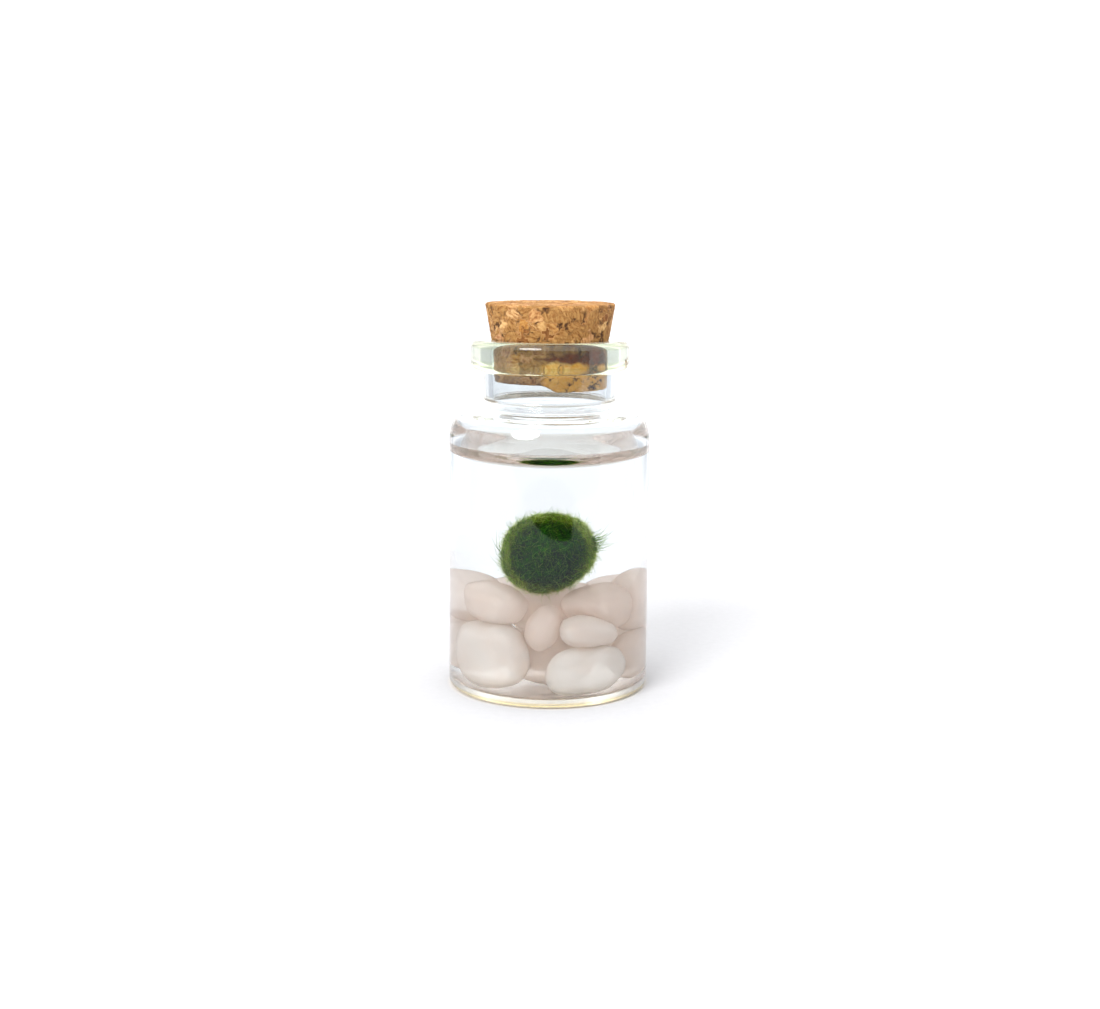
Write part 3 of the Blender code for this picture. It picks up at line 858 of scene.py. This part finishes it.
def stalk_points(roots, ways, bends, lengths, radius, steps):
    """The corners of every ring, as (thread, ring, side, xyz) in mm, kept clear of the glass."""
    along = steps[None, :, None] * lengths[:, None, None]
    line = roots[:, None, :] + ways[:, None, :] * along
    line = line + bends[:, None, :] * along ** 2
    tangent = unit(ways[:, None, :] + 2 * bends[:, None, :] * along)
    side_a = unit(np.cross(tangent, unit(bends + 1e-3)[:, None, :]))
    side_b = np.cross(tangent, side_a)
    angles = np.arange(SIDES) * math.tau / SIDES
    thickness = radius * (1 - TIP_THINNING * steps)[None, :, None, None]
    ring = (np.cos(angles)[None, None, :, None] * side_a[:, :, None, :]
            + np.sin(angles)[None, None, :, None] * side_b[:, :, None, :])
    points = line[:, :, None, :] + ring * thickness
    from_axis = np.hypot(points[..., 0], points[..., 1])
    kept = np.minimum(1.0, (BORE - CLEAR_OF_GLASS) / from_axis)
    points[..., 0] *= kept
    points[..., 1] *= kept
    return points


def stalk_faces(count):
    """Quads between the rings, and a triangle over every root and tip."""
    index = np.arange(count * RINGS * SIDES).reshape(count, RINGS, SIDES)
    faces = []
    for ring_number in range(RINGS - 1):
        for side in range(SIDES):
            after = (side + 1) % SIDES
            faces.append(np.stack([index[:, ring_number, side], index[:, ring_number, after],
                                   index[:, ring_number + 1, after],
                                   index[:, ring_number + 1, side]], axis=-1))
    caps = np.concatenate([index[:, 0, ::-1], index[:, -1, :]])
    return np.concatenate(faces).tolist() + caps.tolist()


# %% A piece of many threads
def thread_mesh(name, roots, ways, bends, lengths, radius, material):
    """Joined three-sided stalks: roots, ways and bends are (n, 3) arrays in mm, lengths is (n,)."""
    count = len(roots)
    steps = np.linspace(0, 1, RINGS)
    points = stalk_points(roots, ways, bends, lengths, radius, steps)
    mesh = bpy.data.meshes.new(name)
    mesh.from_pydata((points.reshape(-1, 3) * MM).tolist(), [], stalk_faces(count))
    tones = np.repeat(random_tones.random(count), RINGS * SIDES)
    tips = np.tile(np.repeat(steps, SIDES), count)
    for layer_name, values in (("tone", tones), ("tip", tips)):
        layer = mesh.attributes.new(layer_name, "FLOAT", "POINT")
        layer.data.foreach_set("value", values.astype(np.float32))
    mesh.polygons.foreach_set("use_smooth", [True] * len(mesh.polygons))
    mesh.materials.append(material)
    made = bpy.data.objects.new(name, mesh)
    scene.collection.objects.link(made)
    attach(made, "root")
    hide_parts("moss_ball")
    print(name, "threads:", count, "faces:", len(mesh.polygons))


# %% [markdown]
# ## Algae threads, wet
#
# A single thread is a row of clear cells with green grains in them, so one alone is pale and lets light
# through, and only many behind each other turn green. The felt's threads are therefore almost clear and
# yellowish, and their layers add up to the green rim. Strands, hairs and tufts are bundles of threads
# that cling together. They are stronger green, and a third of the light stops at their surface. Each
# thread has its own tone, and is paler toward its tip.

# %% Thread materials
ROOT_STOPS, TIP_STOPS = (0.0, 1.0, 0.7), (0.0, 1.0, 0.75)  # where the three tones stand in the ramp


def thread_material(name, root_colours, tip_colours, passed, roughness, ior):
    """Thin algae thread: three tones at its root, three at its tip, and this share of light passes."""
    material, tree, output = new_material(name)
    tone = add(tree, "ShaderNodeAttribute", attribute_name="tone")
    tip = add(tree, "ShaderNodeAttribute", attribute_name="tip")
    at_root, at_tip = (
        add(tree, "ShaderNodeValToRGB", [("Fac", tone.outputs["Fac"])],
            stops=[(place, linear(colour)) for place, colour in zip(places, colours)])
        for places, colours in ((ROOT_STOPS, root_colours), (TIP_STOPS, tip_colours)))
    colour = add(tree, "ShaderNodeMix",
                 [(0, tip.outputs["Fac"]), (6, at_root.outputs["Color"]), (7, at_tip.outputs["Color"])],
                 data_type="RGBA")
    skin = add(tree, "ShaderNodeBsdfPrincipled",
               [("Base Color", colour.outputs[2]), ("Roughness", roughness), ("IOR", ior),
                ("Transmission Weight", passed)])
    tree.links.new(skin.outputs["BSDF"], output.inputs["Surface"])
    return material


felt_threads = thread_material("algae_threads_wet", ("#CAD690", "#F0F2D2", "#DDE4B0"),
                               ("#DDE4AA", "#FDFDF2", "#F2F4D2"), 1.0, 0.25, 1.02)
strand_threads = thread_material("algae_strands_wet", ("#3E7E10", "#B4D050", "#6EAA24"),
                                 ("#5E9A1C", "#E4EC98", "#A0C848"), 0.65, 0.6, 1.05)

# %% [markdown]
# ## Felt, fuzz and strands
#
# The water rolls the ball, so most threads lie along its skin, in swirls, and some end outside it. They
# are set in that way: rooted at a random depth in the felt, combed along the skin, and standing out by
# a share. Three layers of short threads are the felt. A fuzz of very short ones softens the outline,
# and fewer long strands and hairs give the eye single threads to find.

# %% Threads combed along the skin
def felted_threads(name, count, lengths, depths, stand_out, radius, material, seed):
    """Threads combed along the skin, rooted at some depth in the felt and standing out by a share."""
    rng = np.random.default_rng(seed)
    ways_out = unit(rng.normal(size=(count, 3)))
    reach = np.array([core_reach(Vector(w)) for w in ways_out])
    roots = np.array(BALL_CENTRE) + ways_out * (reach + rng.uniform(*depths, count))[:, None]
    swirl = np.array([noise.noise_vector(Vector(w) * 2.0) for w in ways_out])
    lie = swirl * 1.2 + rng.normal(size=(count, 3)) * 0.8
    lie = unit(lie - ways_out * (lie * ways_out).sum(1, keepdims=True))
    share = rng.uniform(*stand_out, size=(count, 1))
    bends = rng.normal(size=(count, 3)) * 0.10 - ways_out * 0.085
    thread_mesh(name, roots, unit(lie + ways_out * share), bends, rng.uniform(*lengths, count),
                radius, material)


# %% Felt, fuzz, strands and hairs
for seed, name in enumerate(("moss_felt_low", "moss_felt_middle", "moss_felt_high"), start=3):
    felted_threads(name, 14000, (0.9, 1.6), (-0.1, 1.25), (0.0, 0.25), 0.016, felt_threads, seed)
felted_threads("moss_fuzz", 9000, (0.4, 0.9), (0.8, 1.25), (0.5, 2.5), 0.014, felt_threads, 6)
felted_threads("moss_strands", 1500, (1.4, 2.8), (0.9, 1.25), (0.0, 0.15), 0.015, strand_threads, 7)
felted_threads("moss_hairs", 700, (0.8, 1.7), (0.9, 1.3), (0.4, 1.6), 0.026, strand_threads, 8)

# %% [markdown]
# ## The tufts
#
# At the left a few long threads are brushed up and outward, with some short ones above them, and at the
# right one clump sticks out. They are made from the same stalks, longer, thicker and started inside
# small patches of the skin.

# %% Tufts
TUFT_THREAD = 0.036            # mm, half the width of a long thread: several that cling together
TUFT_ROOT_DEPTH = 0.4
TUFTS = (
    # name, middle of the patch, spread, way the threads lean, count, length range, bend
    ("moss_tuft_left", (-1.0, 0.05, -0.35), 0.22, (-0.75, 0.0, 0.9), 34, (1.6, 3.4), (0.14, 0.0, 0.03)),
    ("moss_tuft_upper_left", (-0.75, 0.1, 0.6), 0.22, (-0.3, 0.1, 1.0), 22, (0.8, 1.7), (0.06, 0.0, 0.0)),
    ("moss_tuft_right", (1.0, 0.1, 0.25), 0.12, (0.9, 0.0, 0.30), 54, (1.2, 2.8), (0.0, 0.0, 0.06)),
)
for name, middle, spread, lean, count, lengths, bend in TUFTS:
    rng = np.random.default_rng(len(name))
    ways_out = unit(np.array(middle) + rng.normal(size=(count, 3)) * spread)
    reach = np.array([core_reach(Vector(w)) for w in ways_out])
    roots = np.array(BALL_CENTRE) + ways_out * (reach + FUZZ_DEPTH - TUFT_ROOT_DEPTH)[:, None]
    ways = unit(ways_out * 0.5 + np.array(lean) + rng.normal(size=(count, 3)) * 0.25)
    bends = np.array(bend) + rng.normal(size=(count, 3)) * 0.08
    thread_mesh(name, roots, ways, bends, rng.uniform(*lengths, count), TUFT_THREAD, strand_threads)
